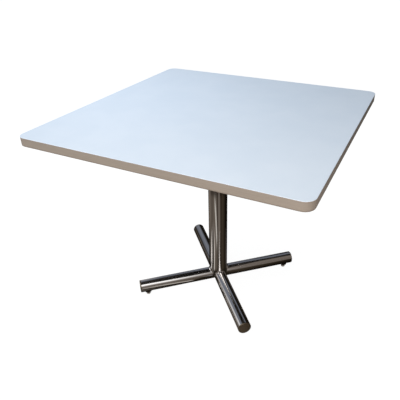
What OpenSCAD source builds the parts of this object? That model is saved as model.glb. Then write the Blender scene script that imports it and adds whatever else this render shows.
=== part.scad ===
// Square bistro table: laminated top on a round steel column with a welded four-leg cross base.
// The origin is on the column's axis at floor level, with +Z up and +X along one edge of the top.

/* [Top] */
// Side of the square top
top_side = 900; // [600:10:1000]
// Thickness of the finished top
top_t = 28; // [20:1:40]
// Plan radius of the top's corners
top_corner_r = 30; // [10:1:60]
// Height of the top surface above the floor
top_height = 733; // [600:1:1100]
// Thickness of the laminate sheets on the top and the underside
laminate_t = 0.9; // [0.6:0.1:1.5]
// Thickness of the plastic band round the edge
band_t = 2; // [1:0.5:3]

/* [Column] */
// Outside diameter of the column tube
column_d = 72; // [70:1:90]
// Wall of the column tube
column_wall = 2; // [1.5:0.5:4]
// Thickness of the tapped disc in the column's head
head_disc_t = 10; // [8:1:16]
// Thickness of the disc that closes the column's foot
foot_disc_t = 4; // [3:1:8]

/* [Base] */
// Outside diameter of the leg tubes
leg_d = 48; // [40:1:50]
// Wall of the leg tubes
leg_wall = 2; // [1.5:0.5:3]
// Distance from the column's axis to a leg's outer end
leg_reach = 324; // [312:2:420]
// Gap between the floor and the underside of a leg
leg_gap = 18; // [18:0.5:24]
// Thickness of the disc that closes a leg's outer end
end_disc_t = 4; // [2.5:0.5:6]
// Turn of the base from the top's exact diagonals
base_turn = -2.5; // [-5:0.5:5]

/* [Mounting plate] */
// Side of the square mounting plate
plate_side = 320; // [240:10:400]
// Thickness of the mounting plate
plate_t = 5; // [4:1:8]
// Distance from the plate's centre lines to its outer screw rows
screw_row = 140; // [90:5:180]

/* [Glides] */
// Distance from the column's axis to a glide's axis
glide_reach = 294; // [250:1:304]
// Diameter of the glide's pad
pad_d = 16; // [16:1:24]
// Nominal thread diameter of the glide's stud
stud_d = 8; // [6:1:10]

/* [Hidden] */
$fn = 96;

// Directions of the four legs, before the base's own turn
FRONT = -45;
RIGHT = 45;
BACK = 135;
LEFT = -135;

// Allowance that keeps a cutting shape clear past the face it cuts
past = 1;
// Radial clearance of a stud or a screw in its hole
running_gap = 0.05;

// Heights of the top's layers and the plate below them
top_z = top_height - top_t;
core_z = top_z + laminate_t;
core_t = top_t - 2 * laminate_t;
plate_z = top_z - plate_t;
// Plan inside the edge band, and of the core, which is smaller by a line of glue all round
glue_t = 0.05;
inner_side = top_side - 2 * band_t;
inner_corner_r = top_corner_r - band_t;
core_side = inner_side - 2 * glue_t;
core_corner_r = inner_corner_r - glue_t;
// Radii of the eased edges of the laminate, the band and the plate's corners
laminate_edge_r = 0.4;
band_edge_r = 1.5;
plate_corner_r = 20;

// Wood screws that hold the plate to the core
screw_d = 5;
screw_head_d = 9.5;
screw_head_t = 3.2;
screw_head_edge_r = 1.6;
screw_length = 22;
screw_tip = 4;
recess_long = 5;
recess_wide = 1.1;
recess_deep = 1.8;
pilot_extra = 1.5;
plate_hole_d = 5.5;
SCREW_PLACES = [for (x = [-1:1], y = [-1:1]) if (x != 0 || y != 0) [x, y] * screw_row];

// Countersunk bolts that hold the plate to the column's head
bolt_d = 8;
bolt_head_d = 16;
bolt_head_t = 4.4;
bolt_length = 14;
bolt_key_d = 5.8;
bolt_key_deep = 2.5;
bolt_ring_r = 21;

// Legs, mitred where they cross, with a line of play between them
leg_r = leg_d / 2;
leg_z = leg_gap + leg_r;
mitre_gap = 0.05;
end_edge_r = 2;

// Column, which stands in the legs at the height of their axes
column_r = column_d / 2;
column_z = leg_z;
column_bore_r = column_r - column_wall;

// Weld fillets, wider over a leg than at its sides, where the next leg's fillet comes near
weld_steps = 40;
weld_crown = 6;
weld_side_share = 0.41;
weld_side = (sqrt(column_r ^ 2 - leg_r ^ 2) - leg_r) * weld_side_share;
weld_lift = 0.05;
weld_hollow = 0.7;
weld_arc_steps = 4;

// Levelling glides: bush in the leg, lock nut, stud with a ball end, and pad
bush_d = stud_d + 6;
bush_top = leg_gap + 20;
flange_d = stud_d + 20;
flange_z = leg_gap - 5.5;
flange_edge = 1.5;
nut_t = 4;
nut_across = 13;
nut_z = flange_z - nut_t;
nut_chamfer = 0.8;
collar_across = 11;
collar_t = 1.8;
collar_gap = 0.3;
collar_z = nut_z - collar_gap - collar_t;
stud_top = bush_top - 2;
stud_chamfer = 1;
ball_r = 2.8;
ball_z = 4;
neck_r = 1.9;
pad_t = 5.6;
pad_side_t = 3.6;
pad_crown_r = 6;
pad_edge_r = 1.5;

// Plan outline of a square with round corners
module round_square(side, corner_r) {
    flat = side - 2 * corner_r;
    square([flat, side], center = true);
    square([side, flat], center = true);
    for (x = [-1, 1], y = [-1, 1])
        translate([x, y] * flat / 2) circle(corner_r);
}

// Upright section of an edge with its outer face at x = 0 and its lower outer corner rounded
module eased_section(depth, height, edge_r) {
    translate([-depth, 0]) square([depth - edge_r, height]);
    translate([-edge_r, edge_r]) square([edge_r, height - edge_r]);
    intersection() {
        translate([-edge_r, 0]) square(edge_r);
        translate([-edge_r, edge_r]) circle(edge_r);
    }
}

// Sweeps its child, an upright section, round a square with round corners
module round_the_edge(side, corner_r) {
    flat = side - 2 * corner_r;
    for (turn = [0:90:270]) rotate([0, 0, turn]) {
        translate([side / 2, 0, 0]) rotate([90, 0, 0])
            linear_extrude(flat, center = true) children();
        translate([flat / 2, flat / 2, 0])
            rotate_extrude(angle = 90) translate([corner_r, 0]) children();
    }
}

// Disc whose outer face has a rounded rim
module rimmed_disc(r, thick, rim_r) {
    rotate_extrude() {
        square([r - rim_r, thick]);
        square([r, thick - rim_r]);
        translate([r - rim_r, thick - rim_r]) circle(rim_r);
    }
}

// Six-sided prism with the given size across its flats
module hex_prism(across, thick) {
    cylinder(d = across / cos(30), h = thick, $fn = 6);
}

// Places its children at a leg's direction
module at_leg(direction) {
    rotate([0, 0, base_turn + direction]) children();
}

// Solid round bar along a leg's axis
module leg_bar(r, length) {
    translate([0, 0, leg_z]) rotate([0, 90, 0]) cylinder(r = r, h = length);
}

module top_laminate() {
    color("#dbe6f2") translate([0, 0, top_height]) mirror([0, 0, 1]) {
        linear_extrude(laminate_t) round_square(inner_side, inner_corner_r);
        round_the_edge(top_side, top_corner_r)
            eased_section(band_t, laminate_t, laminate_edge_r);
    }
}

module top_core() {
    color("#b98f5e") difference() {
        translate([0, 0, core_z]) linear_extrude(core_t) round_square(core_side, core_corner_r);
        screw_holes(screw_d / 2 + running_gap, top_z, screw_length - plate_t + pilot_extra);
    }
}

module edge_band() {
    color("#a09385") translate([0, 0, top_z]) round_the_edge(top_side, top_corner_r)
        eased_section(band_t, top_t - laminate_t, band_edge_r);
}

module backing_laminate() {
    color("#453d38") difference() {
        translate([0, 0, top_z]) linear_extrude(laminate_t) round_square(core_side, core_corner_r);
        screw_holes(screw_d / 2 + running_gap, top_z - past, laminate_t + 2 * past);
    }
}

// Round bars at the wood screws' places, which cut their holes
module screw_holes(r, z, length) {
    rotate([0, 0, base_turn])
        for (place = SCREW_PLACES)
            translate([place.x, place.y, z]) cylinder(r = r, h = length);
}

module mounting_plate() {
    color("#26272a") difference() {
        translate([0, 0, plate_z]) rotate([0, 0, base_turn])
            linear_extrude(plate_t) round_square(plate_side, plate_corner_r);
        screw_holes(plate_hole_d / 2, plate_z - past, plate_t + 2 * past);
        at_bolts() {
            translate([0, 0, plate_z - past])
                cylinder(r = bolt_d / 2 + running_gap, h = plate_t + 2 * past);
            translate([0, 0, top_z - bolt_head_t]) bolt_head(running_gap);
        }
    }
}

// Pan-head wood screw with a cross recess, its head's top face at z = 0
module wood_screw() {
    difference() {
        union() {
            mirror([0, 0, 1]) rimmed_disc(screw_head_d / 2, screw_head_t, screw_head_edge_r);
            cylinder(d = screw_d, h = screw_length - screw_tip);
            translate([0, 0, screw_length - screw_tip])
                cylinder(r1 = screw_d / 2, r2 = screw_d / 10, h = screw_tip);
        }
        for (turn = [0, 90]) rotate([0, 0, turn])
            translate([-recess_long / 2, -recess_wide / 2, -screw_head_t - past])
                cube([recess_long, recess_wide, recess_deep + past]);
    }
}

module plate_screws() {
    color("#c9ccd0") rotate([0, 0, base_turn])
        for (place = SCREW_PLACES)
            translate([place.x, place.y, plate_z]) wood_screw();
}

// Repeats its children at the four column bolts, between the legs
module at_bolts() {
    for (turn = [0:90:270]) rotate([0, 0, base_turn + turn])
        translate([bolt_ring_r, 0, 0]) children();
}

// Cone of a countersunk head, grown by a gap all round where it cuts the plate
module bolt_head(gap) {
    cylinder(r1 = bolt_d / 2 + gap, r2 = bolt_head_d / 2 + gap, h = bolt_head_t);
}

module column_bolts() {
    color("#8f9296") at_bolts() difference() {
        union() {
            translate([0, 0, top_z - bolt_length]) cylinder(d = bolt_d, h = bolt_length - bolt_head_t);
            translate([0, 0, top_z - bolt_head_t]) bolt_head(0);
        }
        translate([0, 0, top_z - bolt_key_deep])
            cylinder(d = bolt_key_d, h = bolt_key_deep + past, $fn = 6);
    }
}

module column_head_disc() {
    color("#9a9ca0") difference() {
        translate([0, 0, plate_z - head_disc_t]) cylinder(r = column_bore_r, h = head_disc_t);
        at_bolts() translate([0, 0, plate_z - head_disc_t - past])
            cylinder(r = bolt_d / 2 + running_gap, h = head_disc_t + 2 * past);
    }
}

module column_tube() {
    color("#b4aea8") difference() {
        translate([0, 0, column_z]) cylinder(r = column_r, h = plate_z - column_z);
        translate([0, 0, column_z - past]) cylinder(r = column_bore_r, h = plate_z + 2 * past);
    }
}

module column_foot_disc() {
    color("#9a9ca0") translate([0, 0, column_z]) cylinder(r = column_bore_r, h = foot_disc_t);
}

// Leg tube along +X: mitred to its neighbours, its upper half coped to the column, and drilled below
module leg_tube() {
    color("#aaa6a4") difference() {
        intersection() {
            leg_bar(leg_r, leg_reach - end_disc_t);
            rotate([0, 0, -45]) translate([mitre_gap, mitre_gap, 0])
                cube([leg_reach, leg_reach, top_height]);
        }
        leg_bar(leg_r - leg_wall, leg_reach);
        translate([0, 0, column_z]) cylinder(r = column_r, h = top_height);
        translate([glide_reach, 0, 0]) cylinder(d = bush_d, h = leg_z);
    }
}

module end_disc() {
    color("#6b6157") translate([leg_reach - end_disc_t, 0, leg_z]) rotate([0, 90, 0])
        rimmed_disc(leg_r, end_disc_t, end_edge_r);
}

// Point where a circle round the leg's axis, of radius r, meets the column's surface
function on_column(r, turn) =
    [sqrt((column_r + weld_lift) ^ 2 - (r * cos(turn)) ^ 2), r * cos(turn), leg_z + r * sin(turn)];

// Cross-section of the fillet at one turn round the leg: leg foot, hollow face, column foot, root
function weld_section(turn) =
    let (
        r = leg_r + weld_lift,
        width = weld_side + (weld_crown - weld_side) * sin(turn) ^ 2,
        root = on_column(r, turn),
        leg_foot = root + [width, 0, 0],
        column_foot = on_column(r + width, turn),
        middle = (leg_foot + column_foot) / 2,
        pull = middle + (root - middle) * weld_hollow
    )
    [
        for (i = [0:weld_arc_steps])
            let (u = i / weld_arc_steps)
            (1 - u) ^ 2 * leg_foot + 2 * u * (1 - u) * pull + u ^ 2 * column_foot,
        on_column(r + width / 2, turn),
        root
    ];

// Arch of weld metal in the corner between a leg's upper half and the column
module weld() {
    sides = weld_arc_steps + 3;
    points = [for (i = [0:weld_steps]) each weld_section(i * 180 / weld_steps)];
    arch = [
        for (i = [0:weld_steps - 1], j = [0:sides - 1])
            let (
                a = i * sides + j,
                b = i * sides + (j + 1) % sides,
                c = b + sides,
                d = a + sides
            )
            each [[a, b, c], [a, c, d]]
    ];
    first_end = [for (j = [sides - 1:-1:0]) j];
    last_end = [for (j = [0:sides - 1]) weld_steps * sides + j];
    color("#c8c5c0") polyhedron(points = points, faces = concat(arch, [first_end, last_end]));
}

// Threaded bush: a barrel through the leg's wall, and a boss under it with a flat seat for the nut
module bush() {
    color("#4a4642") translate([glide_reach, 0, 0]) difference() {
        union() {
            translate([0, 0, flange_z]) cylinder(d = bush_d, h = bush_top - flange_z);
            difference() {
                translate([0, 0, flange_z]) {
                    cylinder(d1 = flange_d - 2 * flange_edge, d2 = flange_d, h = flange_edge);
                    translate([0, 0, flange_edge])
                        cylinder(d = flange_d, h = leg_z - flange_z - flange_edge);
                }
                translate([-glide_reach, 0, 0]) leg_bar(leg_r, leg_reach);
            }
        }
        translate([0, 0, flange_z - past])
            cylinder(d = stud_d + 2 * running_gap, h = bush_top - flange_z + 2 * past);
    }
}

// Thin six-sided nut with both rims chamfered
module lock_nut() {
    rim_r = nut_across / cos(30) / 2 - nut_chamfer;
    color("#5c5a58") translate([glide_reach, 0, nut_z]) difference() {
        intersection() {
            hex_prism(nut_across, nut_t);
            cylinder(r1 = rim_r, r2 = rim_r + nut_t, h = nut_t);
            cylinder(r1 = rim_r + nut_t, r2 = rim_r, h = nut_t);
        }
        translate([0, 0, -past]) cylinder(d = stud_d + 2 * running_gap, h = nut_t + 2 * past);
    }
}

// Stud: ball end in the pad, neck, six-sided collar for a spanner, and threaded shank
module stud() {
    color("#b9bcc0") translate([glide_reach, 0, 0]) {
        translate([0, 0, ball_z]) sphere(ball_r);
        translate([0, 0, ball_z]) cylinder(r = neck_r, h = collar_z - ball_z);
        translate([0, 0, collar_z]) hex_prism(collar_across, collar_t);
        translate([0, 0, collar_z + collar_t])
            cylinder(d = stud_d, h = stud_top - stud_chamfer - collar_z - collar_t);
        translate([0, 0, stud_top - stud_chamfer])
            cylinder(r1 = stud_d / 2, r2 = stud_d / 2 - stud_chamfer, h = stud_chamfer);
    }
}

// Round pad with a rounded lower edge, a sloping crown, and a socket for the ball
module pad() {
    color("#d8d3cc") translate([glide_reach, 0, 0]) difference() {
        union() {
            translate([0, 0, pad_side_t]) mirror([0, 0, 1])
                rimmed_disc(pad_d / 2, pad_side_t, pad_edge_r);
            translate([0, 0, pad_side_t])
                cylinder(r1 = pad_d / 2, r2 = pad_crown_r, h = pad_t - pad_side_t);
        }
        translate([0, 0, ball_z]) sphere(ball_r + running_gap);
    }
}

top_laminate();
top_core();
edge_band();
backing_laminate();
mounting_plate();
plate_screws();
column_bolts();
column_head_disc();
column_tube();
column_foot_disc();
at_leg(FRONT) leg_tube();  // leg_front
at_leg(RIGHT) leg_tube();  // leg_right
at_leg(BACK) leg_tube();  // leg_back
at_leg(LEFT) leg_tube();  // leg_left
at_leg(FRONT) end_disc();  // end_disc_front
at_leg(RIGHT) end_disc();  // end_disc_right
at_leg(BACK) end_disc();  // end_disc_back
at_leg(LEFT) end_disc();  // end_disc_left
at_leg(FRONT) weld();  // weld_front
at_leg(RIGHT) weld();  // weld_right
at_leg(BACK) weld();  // weld_back
at_leg(LEFT) weld();  // weld_left
at_leg(FRONT) bush();  // bush_front
at_leg(RIGHT) bush();  // bush_right
at_leg(BACK) bush();  // bush_back
at_leg(LEFT) bush();  // bush_left
at_leg(FRONT) lock_nut();  // lock_nut_front
at_leg(RIGHT) lock_nut();  // lock_nut_right
at_leg(BACK) lock_nut();  // lock_nut_back
at_leg(LEFT) lock_nut();  // lock_nut_left
at_leg(FRONT) stud();  // stud_front
at_leg(RIGHT) stud();  // stud_right
at_leg(BACK) stud();  // stud_back
at_leg(LEFT) stud();  // stud_left
at_leg(FRONT) pad();  // pad_front
at_leg(RIGHT) pad();  // pad_right
at_leg(BACK) pad();  // pad_back
at_leg(LEFT) pad();  // pad_left
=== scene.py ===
"""Looks of the square bistro table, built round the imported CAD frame. Metres, +Z up."""

import math

import bpy
from mathutils import Matrix, Vector


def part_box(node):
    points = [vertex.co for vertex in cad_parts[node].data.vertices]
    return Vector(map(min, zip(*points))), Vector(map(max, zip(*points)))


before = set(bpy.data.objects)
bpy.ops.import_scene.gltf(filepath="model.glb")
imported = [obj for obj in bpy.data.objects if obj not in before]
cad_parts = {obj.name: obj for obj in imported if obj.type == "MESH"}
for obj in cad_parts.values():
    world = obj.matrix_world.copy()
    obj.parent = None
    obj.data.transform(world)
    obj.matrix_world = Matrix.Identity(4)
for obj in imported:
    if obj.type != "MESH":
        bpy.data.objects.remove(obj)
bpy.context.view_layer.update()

# Legs in order round the base, the first one's direction and the step to the next in degrees, and the
# base's own turn
DIRECTIONS = ("front", "right", "back", "left")
FIRST_LEG = -45.0
LEG_STEP = 90.0
BASE_TURN = math.radians(-2.5)

# Camera: where it stands, which way it looks, and its lens
CAMERA_PLACE = Vector((0.6147, -1.2667, 1.2264))
CAMERA_AZIMUTH = math.radians(26.56)
CAMERA_PITCH = math.radians(29.52)
CAMERA_ROLL = -0.011
CAMERA_LENS = 39.14
CAMERA_SENSOR = 36.0
CAMERA_SHIFT = (-0.0334, -0.0252)

# Middle range of a noise, where most of its values lie
NOISE_MIDDLE = (0.3, 0.7)
# Grain of each surface, as the noise's scale per metre
LAMINATE_CLOUD = 9.0
LAMINATE_GRAIN = 900.0
EDGING_LINES = (6.0, 6.0, 900.0)
EDGING_MOTTLE = 160.0
UPRIGHT_POLISH = (240.0, 240.0, 1.6)
LEVEL_POLISH = (3.0, 260.0, 260.0)
POLISH_HAZE = 24.0
METAL_GRAIN = 400.0
CHIP_SCALE = 320.0
PAINT_PEEL = 700.0
NYLON_STAIN = 120.0
# Colours; a pair is the two shades that a noise mixes
# White laminate, with a painted bluish cast of sky light in its colour
WHITE_LAMINATE = ((0.73, 0.80, 0.89), (0.705, 0.78, 0.875))
DARK_LAMINATE = ((0.072, 0.062, 0.055), (0.085, 0.072, 0.064))
TAUPE = ((0.268, 0.224, 0.187), (0.298, 0.252, 0.213))
# Painted shade along the band's lower edge, which faces down
LOWER_EDGE_SHADE_COLOUR = (0.17, 0.135, 0.105)
CHIPS = ((0.42, 0.28, 0.15), (0.66, 0.50, 0.31))
BLACK_PAINT = ((0.016, 0.016, 0.018), (0.03, 0.03, 0.032))
NYLON = ((0.50, 0.45, 0.40), (0.38, 0.33, 0.29))
POLISHED_STEEL = (0.60, 0.58, 0.56)
END_DISC_STEEL = (0.25, 0.21, 0.155)
PLAIN_STEEL = (0.5, 0.5, 0.5)
ZINC_STEEL = (0.66, 0.67, 0.69)
BUSH_STEEL = (0.20, 0.18, 0.16)
DARK_STEEL = (0.16, 0.155, 0.15)
# Share of a metal's colour that is left in the darker shade of its lines or grain
POLISH_SHADE = 0.72
GRAIN_SHADE = 0.75
# How far the painted shade along the band's downward-facing lower edge reaches up
LOWER_EDGE_SHADE_REACH = 0.005

# Floor: its size, and how far it lies under the glides' faces so that the two don't coincide
FLOOR_SIDE = 40.0
FLOOR_DROP = 0.0002
# Its colour, roughness and glow to the camera, and its colour to other light
FLOOR_SEEN = (0.14, 0.14, 0.14, 1.0)
FLOOR_ROUGHNESS = 0.9
FLOOR_GLOW = 0.95
FLOOR_BOUNCE = (0.7, 0.7, 0.7, 1.0)

# Reflections, mostly those in the tubes, show a floor and a room of their own, made of the patches below,
# which the camera and diffuse light never see. They stand for the surroundings that the tubes reflect in
# the reference photograph, and were placed to match it. Bearings are in degrees in plan from +X, heights
# in degrees above the horizon, and reaches in metres from the column's axis. A bearing's range is from, to
# and softness. A ramp is where a patch is nothing and where it is full.
LIT_FLOOR = (0.185, 0.155, 0.128)
DIM_FLOOR = (0.055, 0.042, 0.029)
DARK_FLOOR = (0.010, 0.007, 0.005)
DARK_BEARINGS = (20.0, 118.0, 18.0)
# Line through the column between the lit and the dim side, and the distances over which one becomes
# the other
LIT_SIDE_BEARING = math.radians(-38.0)
LIT_SIDE_EDGE = (-0.03, 0.05)
# Pool of light, and the share of its radius that is fully lit
POOL_CENTRE = (-0.17, -0.28, 0.0)
POOL_RADIUS = 0.20
POOL_CORE = 0.3
POOL_COLOUR = (0.36, 0.32, 0.29)
# Painted shade in the corner between the back and the left leg
CORNER_BEARINGS = (136.0, 190.0, 4.0)
CORNER_RAMP = (0.44, 0.30)
CORNER_SHADE_COLOUR = (0.045, 0.036, 0.028)
# Contact shadow of the legs: its half width at the column and at their ends, and how it fades
CONTACT_WIDTHS = (0.090, 0.047)
CONTACT_LENGTH = 0.33
CONTACT_RAMP = (1.25, 0.5)
CONTACT_END_RAMP = (0.38, 0.33)
CONTACT_COLOUR = (0.028, 0.022, 0.015)
# Dimmer floor far out, and the shadow under the column
FAR_RAMP = (0.72, 0.79)
FAR_DIMMING = (0.4, 0.4, 0.4)
FOOT_RAMP = (0.135, 0.11)
FOOT_COLOUR = (0.024, 0.019, 0.013)
# Streaks of floor that show upright in the column: from and to bearing, how that bearing changes per
# metre outwards, where they are full from and to, and colour
LIGHT_STREAKS = (
    (150.0, 196.0, 0.0, 0.0, 0.14, (0.014, 0.011, 0.008)),
    (118.0, 153.0, 0.0, 0.25, 0.62, (0.030, 0.024, 0.018)),
    (176.0, 197.0, 0.0, 0.56, 3.0, (0.29, 0.245, 0.21)),
    (199.5, 214.0, 0.0, 0.0, 0.25, (1.3, 1.24, 1.18)),
    (199.5, 213.0, 0.0, 0.0, 0.08, (2.8, 2.7, 2.6)),
    (233.0, 244.0, 0.0, 0.0, 0.30, (0.03, 0.024, 0.018)),
    (245.5, 256.0, 0.0, 0.0, 0.24, (0.90, 0.85, 0.80)),
    (290.0, 306.0, -50.0, 0.42, 0.60, (0.90, 0.86, 0.81)),
    (287.0, 298.0, 0.0, 0.0, 3.0, (0.065, 0.052, 0.042)),
    (302.0, 316.0, 0.0, 0.0, 0.22, (0.42, 0.41, 0.42)),
    (302.0, 316.0, 0.0, 0.34, 3.0, (0.25, 0.215, 0.19)),
    (340.0, 354.0, 0.0, 0.0, 2.0, (0.07, 0.054, 0.038)),
)
STREAK_SOFTNESS = 2.0
STREAK_FADE = 0.20

# Room: warm on one side and cool on the other, with a tall window whose sill is higher near one end
WARM_ROOM = (0.25, 0.215, 0.19)
COOL_ROOM = (0.255, 0.28, 0.34)
COOL_RAMP = (50.0, 85.0)
WINDOW_BEARINGS = (-95.0, -35.0, 7.0)
WINDOW_FOOT_RAMP = (9.0, 45.0)
WINDOW_HEAD_RAMP = (74.0, 62.0)
WINDOW_COLOUR = (2.0, 2.02, 2.05)
SILL_BEARINGS = (-46.0, -41.0, 3.0)
SILL_RISE = 9.0
# Patches of the room: range of bearings, ramps of height, and colour
ROOM_PATCHES = (
    # Dark wall
    ((52.0, 114.0, 6.0), ((38.0, 28.0),), (0.012, 0.009, 0.006)),
    # Dim wall
    ((138.0, 173.0, 3.0), ((27.0, 12.0),), (0.045, 0.038, 0.034)),
    # Narrow upright gleam
    ((128.0, 136.0, 1.5), ((40.0, 32.0),), (0.55, 0.56, 0.60)),
    # Dark ceiling
    ((2.0, 82.0, 8.0), ((55.0, 62.0),), (0.035, 0.033, 0.033)),
    # Pale wall
    ((176.0, 205.0, 4.0), ((30.0, 18.0),), (0.92, 0.93, 0.96)),
    # High window
    ((190.0, 230.0, 5.0), ((29.0, 39.0), (59.0, 49.0)), (3.2, 3.2, 3.25)),
    # Lamp
    ((-66.0, -49.0, 3.0), ((36.0, 39.0), (48.5, 45.5)), (8.0, 8.0, 8.2)),
)

# Daylight that falls on everything: the direction in plan in which it weakens, and its strengths from
# one side to the other
DAYLIGHT_COLOUR = (0.90, 0.95, 1.0, 1.0)
DAYLIGHT_AWAY = (0.8, 0.6)
DAYLIGHT_STRENGTHS = (0.96, 0.02)
WHITE = (1.0, 1.0, 1.0, 1.0)
# Square lights that no reflection shows: name, place, target, side, power in watts, and colour
LIGHTS = (
    ("key", (-0.8, 0.0, 2.1), (0.0, 0.0, 0.7), 0.6, 12.2, (0.80, 0.90, 1.0)),
    ("front", (0.31, -1.16, 1.7), (0.0, 0.0, 0.7), 0.4, 7.6, (1.0, 0.90, 0.77)),
    ("low", (-0.9, -2.6, 0.6), (-0.1, -0.45, 0.7), 1.0, 20.0, (1.0, 0.99, 0.97)),
    ("fill", (1.0, -0.9, 0.6), (0.45, -0.45, 0.7), 0.4, 3.1, (1.0, 0.92, 0.85)),
)


# ---------------------------------------------------------------- node helpers

def new_material(name):
    """An empty node material, with its tree and its Principled shader."""
    material = bpy.data.materials.new(name)
    material.use_nodes = True
    tree = material.node_tree
    tree.nodes.clear()
    shader = add(tree, "ShaderNodeBsdfPrincipled")
    out = add(tree, "ShaderNodeOutputMaterial")
    tree.links.new(shader.outputs["BSDF"], out.inputs["Surface"])
    return material, tree, shader


def add(tree, kind, inputs=None, **settings):
    """Adds a node; inputs are values or sockets by socket name or index."""
    node = tree.nodes.new(kind)
    for key, value in settings.items():
        setattr(node, key, value)
    for key, value in (inputs or {}).items():
        if isinstance(value, bpy.types.NodeSocket):
            tree.links.new(value, node.inputs[key])
        else:
            node.inputs[key].default_value = value
    return node


def math_node(tree, operation, a, b=0.0):
    return add(tree, "ShaderNodeMath", {0: a, 1: b}, operation=operation).outputs[0]


def product(tree, *values):
    result = values[0]
    for value in values[1:]:
        result = math_node(tree, "MULTIPLY", result, value)
    return result


def remap(tree, value, low, high, to_low=0.0, to_high=1.0, smooth=True):
    """Maps low..high to to_low..to_high, clamped."""
    inputs = {"Value": value, "From Min": low, "From Max": high, "To Min": to_low, "To Max": to_high}
    kind = "SMOOTHSTEP" if smooth else "LINEAR"
    return add(tree, "ShaderNodeMapRange", inputs, interpolation_type=kind).outputs["Result"]


def vary(tree, value, to_low=0.0, to_high=1.0):
    """Spreads the middle range of a noise over to_low..to_high."""
    return remap(tree, value, *NOISE_MIDDLE, to_low, to_high)


def band(tree, value, low, high, soft):
    """1 between low and high, 0 outside, with soft ends."""
    rise = remap(tree, value, low - soft, low + soft)
    fall = remap(tree, value, high - soft, high + soft, 1.0, 0.0)
    return math_node(tree, "MULTIPLY", rise, fall)


def mix_colour(tree, factor, a, b, blend="MIX"):
    """Mixes two colours, each of them a socket or three numbers."""
    colours = [c if isinstance(c, bpy.types.NodeSocket) else (*c, 1.0) for c in (a, b)]
    inputs = {0: factor, 6: colours[0], 7: colours[1]}
    return add(tree, "ShaderNodeMix", inputs, data_type="RGBA", blend_type=blend).outputs[2]


def object_place(tree, scale=(1, 1, 1), turn=0.0):
    """The point's place in metres, turned about Z and scaled on each axis."""
    coordinates = add(tree, "ShaderNodeTexCoord").outputs["Object"]
    turned = add(tree, "ShaderNodeMapping", {"Vector": coordinates, "Rotation": (0.0, 0.0, turn)})
    return add(tree, "ShaderNodeMapping", {"Vector": turned.outputs[0], "Scale": scale}).outputs[0]


def noise(tree, place, scale=1.0, detail=2.0, roughness=0.5):
    inputs = {"Vector": place, "Scale": scale, "Detail": detail, "Roughness": roughness}
    return add(tree, "ShaderNodeTexNoise", inputs).outputs["Fac"]


def bump(tree, height, strength, distance):
    inputs = {"Height": height, "Strength": strength, "Distance": distance}
    return add(tree, "ShaderNodeBump", inputs).outputs["Normal"]


def finish(tree, shader, colour, roughness, normal):
    """Feeds a shader's colour, roughness and normal."""
    for key, socket in (("Base Color", colour), ("Roughness", roughness), ("Normal", normal)):
        tree.links.new(socket, shader.inputs[key])


# ---------------------------------------------------------------- materials

def laminate(name, shades, roughness):
    """Fine-textured decorative laminate: a faint mottle, and a pebbled surface."""
    material, tree, shader = new_material(name)
    place = object_place(tree)
    cloud = noise(tree, place, LAMINATE_CLOUD, detail=3.0)
    grain = noise(tree, place, LAMINATE_GRAIN, detail=3.0, roughness=0.6)
    colour = mix_colour(tree, vary(tree, cloud), *shades)
    rough = vary(tree, grain, roughness - 0.05, roughness + 0.05)
    finish(tree, shader, colour, rough, bump(tree, grain, strength=0.25, distance=0.0001))
    shader.inputs["Specular IOR Level"].default_value = 0.45
    return material


def edging():
    """Satin plastic edging with fine lines along its length, and painted shade along its lower edge."""
    material, tree, shader = new_material("taupe_edging")
    lines = noise(tree, object_place(tree, EDGING_LINES), detail=3.0, roughness=0.6)
    mottle = noise(tree, object_place(tree), EDGING_MOTTLE)
    colour = mix_colour(tree, vary(tree, lines), *TAUPE)
    height = add(tree, "ShaderNodeSeparateXYZ", {0: object_place(tree)}).outputs["Z"]
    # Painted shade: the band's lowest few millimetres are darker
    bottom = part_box("edge_band")[0][2]
    lower_edge_shade = remap(tree, height, bottom + LOWER_EDGE_SHADE_REACH, bottom)
    colour = mix_colour(tree, lower_edge_shade, colour, LOWER_EDGE_SHADE_COLOUR)
    rough = vary(tree, mottle, 0.58, 0.70)
    finish(tree, shader, colour, rough, bump(tree, lines, strength=0.2, distance=0.0001))
    shader.inputs["Specular IOR Level"].default_value = 0.03
    return material


def polished_steel(name, stretch, turn=0.0, roughness=0.08):
    """Mirror-polished tube with faint polishing lines along its axis."""
    material, tree, shader = new_material(name)
    lines = noise(tree, object_place(tree, stretch, turn), detail=3.0, roughness=0.55)
    haze = noise(tree, object_place(tree), POLISH_HAZE, detail=3.0)
    shader.inputs["Metallic"].default_value = 1.0
    dull = tuple(POLISH_SHADE * value for value in POLISHED_STEEL)
    colour = mix_colour(tree, remap(tree, lines, 0.35, 0.65), POLISHED_STEEL, dull)
    line_rough = vary(tree, lines, roughness - 0.03, roughness + 0.03)
    haze_rough = remap(tree, haze, 0.4, 0.7, 0.0, 0.04)
    rough = math_node(tree, "ADD", line_rough, haze_rough)
    finish(tree, shader, colour, rough, bump(tree, lines, strength=0.15, distance=0.0001))
    return material


def plain_metal(name, base, roughness):
    """Turned, plated or blackened steel with a fine grain."""
    material, tree, shader = new_material(name)
    grain = noise(tree, object_place(tree), METAL_GRAIN, detail=3.0)
    shader.inputs["Metallic"].default_value = 1.0
    dull = tuple(GRAIN_SHADE * value for value in base)
    colour = mix_colour(tree, vary(tree, grain), base, dull)
    rough = vary(tree, grain, roughness - 0.06, roughness + 0.06)
    finish(tree, shader, colour, rough, bump(tree, grain, strength=0.2, distance=0.0001))
    return material


def chipboard():
    """Pressed wood chips of several browns."""
    material, tree, shader = new_material("chipboard")
    inputs = {"Vector": object_place(tree), "Scale": CHIP_SCALE}
    chips = add(tree, "ShaderNodeTexVoronoi", inputs).outputs
    colour = mix_colour(tree, chips["Color"], *CHIPS)
    rough = remap(tree, chips["Distance"], 0.0, 0.6, 0.7, 0.95)
    normal = bump(tree, chips["Distance"], strength=0.4, distance=0.0003)
    finish(tree, shader, colour, rough, normal)
    return material


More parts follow.
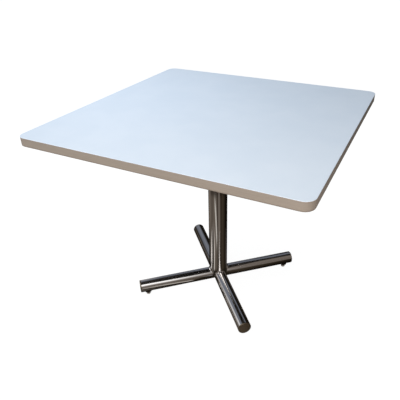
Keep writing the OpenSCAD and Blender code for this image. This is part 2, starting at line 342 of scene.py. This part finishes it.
def powder_coat():
    """Black powder coat with a fine orange-peel texture."""
    material, tree, shader = new_material("black_paint")
    peel = noise(tree, object_place(tree), PAINT_PEEL)
    colour = mix_colour(tree, vary(tree, peel), *BLACK_PAINT)
    rough = vary(tree, peel, 0.45, 0.6)
    finish(tree, shader, colour, rough, bump(tree, peel, strength=0.4, distance=0.0002))
    return material


def nylon():
    """Moulded nylon, slightly grubby."""
    material, tree, shader = new_material("nylon")
    stain = noise(tree, object_place(tree), NYLON_STAIN, detail=4.0)
    colour = mix_colour(tree, remap(tree, stain, 0.35, 0.7), *NYLON)
    rough = vary(tree, stain, 0.4, 0.55)
    finish(tree, shader, colour, rough, bump(tree, stain, strength=0.1, distance=0.0002))
    return material


def dress(material, *nodes):
    """Gives CAD nodes' objects their material."""
    for node in nodes:
        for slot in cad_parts[node].material_slots:
            slot.link = "OBJECT"
            slot.material = material


def dress_top():
    dress(laminate("white_laminate", WHITE_LAMINATE, 0.42), "top_laminate")
    dress(laminate("backing_laminate", DARK_LAMINATE, 0.6), "backing_laminate")
    dress(edging(), "edge_band")
    dress(chipboard(), "top_core")
    dress(powder_coat(), "mounting_plate")


def dress_column():
    column_steel = polished_steel("polished_steel_column", UPRIGHT_POLISH, roughness=0.06)
    dress(column_steel, "column_tube", "column_foot_disc")
    dress(plain_metal("plain_steel", PLAIN_STEEL, 0.35), "column_head_disc")


def leg_angle(step):
    """Direction in plan of the leg so many steps round from the front one, in radians."""
    return BASE_TURN + math.radians(FIRST_LEG + LEG_STEP * step)


def dress_base_and_fasteners():
    zinc = plain_metal("zinc_steel", ZINC_STEEL, 0.28)
    dress(zinc, "plate_screws", "column_bolts")
    bush = plain_metal("bush_steel", BUSH_STEEL, 0.4)
    nut = plain_metal("dark_steel", DARK_STEEL, 0.4)
    pad = nylon()
    for step, name in enumerate(DIRECTIONS):
        tube = polished_steel(f"polished_steel_{name}", LEVEL_POLISH, -leg_angle(step))
        dress(tube, f"leg_{name}", f"weld_{name}")
        dress(plain_metal(f"satin_steel_{name}", END_DISC_STEEL, 0.34), f"end_disc_{name}")
        dress(bush, f"bush_{name}")
        dress(nut, f"lock_nut_{name}")
        dress(zinc, f"stud_{name}")
        dress(pad, f"pad_{name}")


# ---------------------------------------------------------------- what reflections show

def bearings(tree, axes):
    """Direction in plan in degrees from +X, as -180..180 and as 0..360."""
    angle = math_node(tree, "ARCTAN2", axes["Y"], axes["X"])
    azimuth = math_node(tree, "MULTIPLY", angle, math.degrees(1.0))
    return azimuth, math_node(tree, "MODULO", math_node(tree, "ADD", azimuth, 360.0), 360.0)


def across_line(tree, axes, angle):
    """Signed distance from the line through the origin at an angle in plan."""
    along_y = math_node(tree, "MULTIPLY", axes["Y"], math.cos(angle))
    along_x = math_node(tree, "MULTIPLY", axes["X"], math.sin(angle))
    return math_node(tree, "SUBTRACT", along_y, along_x)


def leg_contact(tree, axes, reach):
    """1 close to a leg's line, and 0 away from it or past the legs' ends."""
    lines = [across_line(tree, axes, leg_angle(step)) for step in (0, 1)]
    gap = math_node(tree, "MINIMUM", *(math_node(tree, "ABSOLUTE", line) for line in lines))
    width = remap(tree, reach, 0.0, CONTACT_LENGTH, *CONTACT_WIDTHS, smooth=False)
    near = remap(tree, math_node(tree, "DIVIDE", gap, width), *CONTACT_RAMP)
    return product(tree, near, remap(tree, reach, *CONTACT_END_RAMP))


def add_streaks(tree, tone, around, reach):
    """Lays the light and dark streaks over the floor's colour."""
    for low, high, lean, near, far, colour in LIGHT_STREAKS:
        straight = math_node(tree, "SUBTRACT", around, math_node(tree, "MULTIPLY", reach, lean))
        streak = product(tree, band(tree, straight, low, high, STREAK_SOFTNESS),
                         remap(tree, reach, near - STREAK_FADE, near),
                         remap(tree, reach, far + STREAK_FADE, far))
        tone = mix_colour(tree, streak, tone, colour)
    return tone


def mirrored_floor(tree):
    """Colour that reflections show on the floor: a lit side, a dark side, streaks and shadows."""
    place = object_place(tree)
    axes = add(tree, "ShaderNodeSeparateXYZ", {0: place}).outputs
    azimuth, around = bearings(tree, axes)
    reach = add(tree, "ShaderNodeVectorMath", {0: place}, operation="LENGTH").outputs["Value"]
    shade = remap(tree, across_line(tree, axes, LIT_SIDE_BEARING), *LIT_SIDE_EDGE)
    deep = mix_colour(tree, band(tree, azimuth, *DARK_BEARINGS), DIM_FLOOR, DARK_FLOOR)
    tone = mix_colour(tree, shade, LIT_FLOOR, deep)
    away = add(tree, "ShaderNodeVectorMath", {0: place, 1: POOL_CENTRE}, operation="DISTANCE")
    pool = remap(tree, away.outputs["Value"], POOL_RADIUS, POOL_CORE * POOL_RADIUS)
    tone = mix_colour(tree, pool, tone, POOL_COLOUR)
    # Painted shade in the corner between the back and the left leg, near the column
    corner = product(tree, band(tree, around, *CORNER_BEARINGS), remap(tree, reach, *CORNER_RAMP))
    tone = mix_colour(tree, corner, tone, CORNER_SHADE_COLOUR)
    tone = mix_colour(tree, leg_contact(tree, axes, reach), tone, CONTACT_COLOUR, "DARKEN")
    tone = mix_colour(tree, remap(tree, reach, *FAR_RAMP), tone, FAR_DIMMING, "MULTIPLY")
    tone = add_streaks(tree, tone, around, reach)
    return mix_colour(tree, remap(tree, reach, *FOOT_RAMP), tone, FOOT_COLOUR)


def mirrored_room(tree, axes):
    """Colour that reflections show in a direction: warm and cool sides, a window and patches."""
    azimuth, around = bearings(tree, axes)
    height = math_node(tree, "MULTIPLY", math_node(tree, "ARCSINE", axes["Z"]), math.degrees(1.0))
    tone = mix_colour(tree, remap(tree, azimuth, *COOL_RAMP), WARM_ROOM, COOL_ROOM)
    sill = math_node(tree, "MULTIPLY", band(tree, azimuth, *SILL_BEARINGS), SILL_RISE)
    window = product(tree, band(tree, azimuth, *WINDOW_BEARINGS),
                     remap(tree, math_node(tree, "SUBTRACT", height, sill), *WINDOW_FOOT_RAMP),
                     remap(tree, height, *WINDOW_HEAD_RAMP))
    tone = mix_colour(tree, window, tone, WINDOW_COLOUR)
    for (low, high, soft), ramps, colour in ROOM_PATCHES:
        # A range past 180 degrees is unbroken only in 0..360
        bearing = around if high > 180.0 else azimuth
        patch = product(tree, band(tree, bearing, low, high, soft),
                        *(remap(tree, height, *ramp) for ramp in ramps))
        tone = mix_colour(tree, patch, tone, colour)
    return tone


def by_ray(tree, seen, mirrored, other):
    """A shader that is one thing to the camera, one to reflections, and one to all other rays."""
    path = add(tree, "ShaderNodeLightPath").outputs
    unseen = add(tree, "ShaderNodeMixShader", {0: path["Is Glossy Ray"], 1: other, 2: mirrored})
    inputs = {0: path["Is Camera Ray"], 1: unseen.outputs[0], 2: seen}
    return add(tree, "ShaderNodeMixShader", inputs).outputs[0]


# ---------------------------------------------------------------- camera, floor and light

def make_camera():
    flat = Vector((-math.sin(CAMERA_AZIMUTH), math.cos(CAMERA_AZIMUTH), 0.0))
    forward = flat * math.cos(CAMERA_PITCH) - Vector((0.0, 0.0, math.sin(CAMERA_PITCH)))
    right = forward.cross(Vector((0.0, 0.0, 1.0))).normalized()
    up = right.cross(forward)
    x = right * math.cos(CAMERA_ROLL) + up * math.sin(CAMERA_ROLL)
    y = up * math.cos(CAMERA_ROLL) - right * math.sin(CAMERA_ROLL)
    data = bpy.data.cameras.new("camera")
    data.lens = CAMERA_LENS
    data.sensor_width = CAMERA_SENSOR
    data.shift_x, data.shift_y = CAMERA_SHIFT
    camera = bpy.data.objects.new("camera", data)
    turn = Matrix((x, y, -forward)).transposed()
    camera.matrix_world = Matrix.Translation(CAMERA_PLACE) @ turn.to_4x4()
    bpy.context.scene.collection.objects.link(camera)
    bpy.context.scene.camera = camera


def make_floor():
    """Pale floor: near white to the camera, plain to diffuse light, and darker in reflections."""
    half = FLOOR_SIDE / 2
    corners = [(-half, -half, 0), (half, -half, 0), (half, half, 0), (-half, half, 0)]
    mesh = bpy.data.meshes.new("floor")
    mesh.from_pydata(corners, [], [(0, 1, 2, 3)])
    floor = bpy.data.objects.new("floor", mesh)
    floor.location.z = -FLOOR_DROP
    bpy.context.scene.collection.objects.link(floor)
    material, tree, shader = new_material("floor")
    shader.inputs["Base Color"].default_value = FLOOR_SEEN
    shader.inputs["Roughness"].default_value = FLOOR_ROUGHNESS
    shader.inputs["Emission Color"].default_value = WHITE
    shader.inputs["Emission Strength"].default_value = FLOOR_GLOW
    plain = add(tree, "ShaderNodeBsdfDiffuse", {"Color": FLOOR_BOUNCE}).outputs[0]
    mirrored = add(tree, "ShaderNodeEmission", {"Color": mirrored_floor(tree), "Strength": 1.0}).outputs[0]
    surface = by_ray(tree, shader.outputs[0], mirrored, plain)
    out = next(node for node in tree.nodes if node.type == "OUTPUT_MATERIAL")
    tree.links.new(surface, out.inputs["Surface"])
    mesh.materials.append(material)


def make_world():
    """Surroundings: white to the camera, soft daylight on the object, and a room in reflections."""
    world = bpy.data.worlds.new("studio")
    bpy.context.scene.world = world
    world.use_nodes = True
    # Its daylight is smooth, so no light samples are spent on it
    world.cycles.sampling_method = "NONE"
    tree = world.node_tree
    tree.nodes.clear()
    direction = add(tree, "ShaderNodeTexCoord").outputs["Generated"]
    axes = add(tree, "ShaderNodeSeparateXYZ", {0: direction}).outputs
    room = add(tree, "ShaderNodeBackground", {"Color": mirrored_room(tree, axes), "Strength": 1.0})
    away_x, away_y = DAYLIGHT_AWAY
    away = math_node(tree, "ADD", math_node(tree, "MULTIPLY", axes["X"], away_x),
                     math_node(tree, "MULTIPLY", axes["Y"], away_y))
    strength = remap(tree, away, -1.0, 1.0, *DAYLIGHT_STRENGTHS, smooth=False)
    daylight = add(tree, "ShaderNodeBackground", {"Color": DAYLIGHT_COLOUR, "Strength": strength})
    clean = add(tree, "ShaderNodeBackground", {"Color": WHITE, "Strength": 1.0})
    surface = by_ray(tree, clean.outputs[0], room.outputs[0], daylight.outputs[0])
    out = add(tree, "ShaderNodeOutputWorld")
    tree.links.new(surface, out.inputs["Surface"])


def make_light(name, place, target, side, power, colour):
    data = bpy.data.lights.new(name, "AREA")
    data.shape = "SQUARE"
    data.size = side
    data.energy = power
    data.color = colour
    light = bpy.data.objects.new(name, data)
    light.location = place
    light.rotation_euler = (Vector(target) - Vector(place)).to_track_quat("-Z", "Y").to_euler()
    light.visible_camera = False
    light.visible_glossy = False
    bpy.context.scene.collection.objects.link(light)


make_camera()
make_floor()
make_world()
for light_settings in LIGHTS:
    make_light(*light_settings)
dress_top()
dress_column()
dress_base_and_fasteners()
bpy.context.scene.view_settings.view_transform = "Standard"
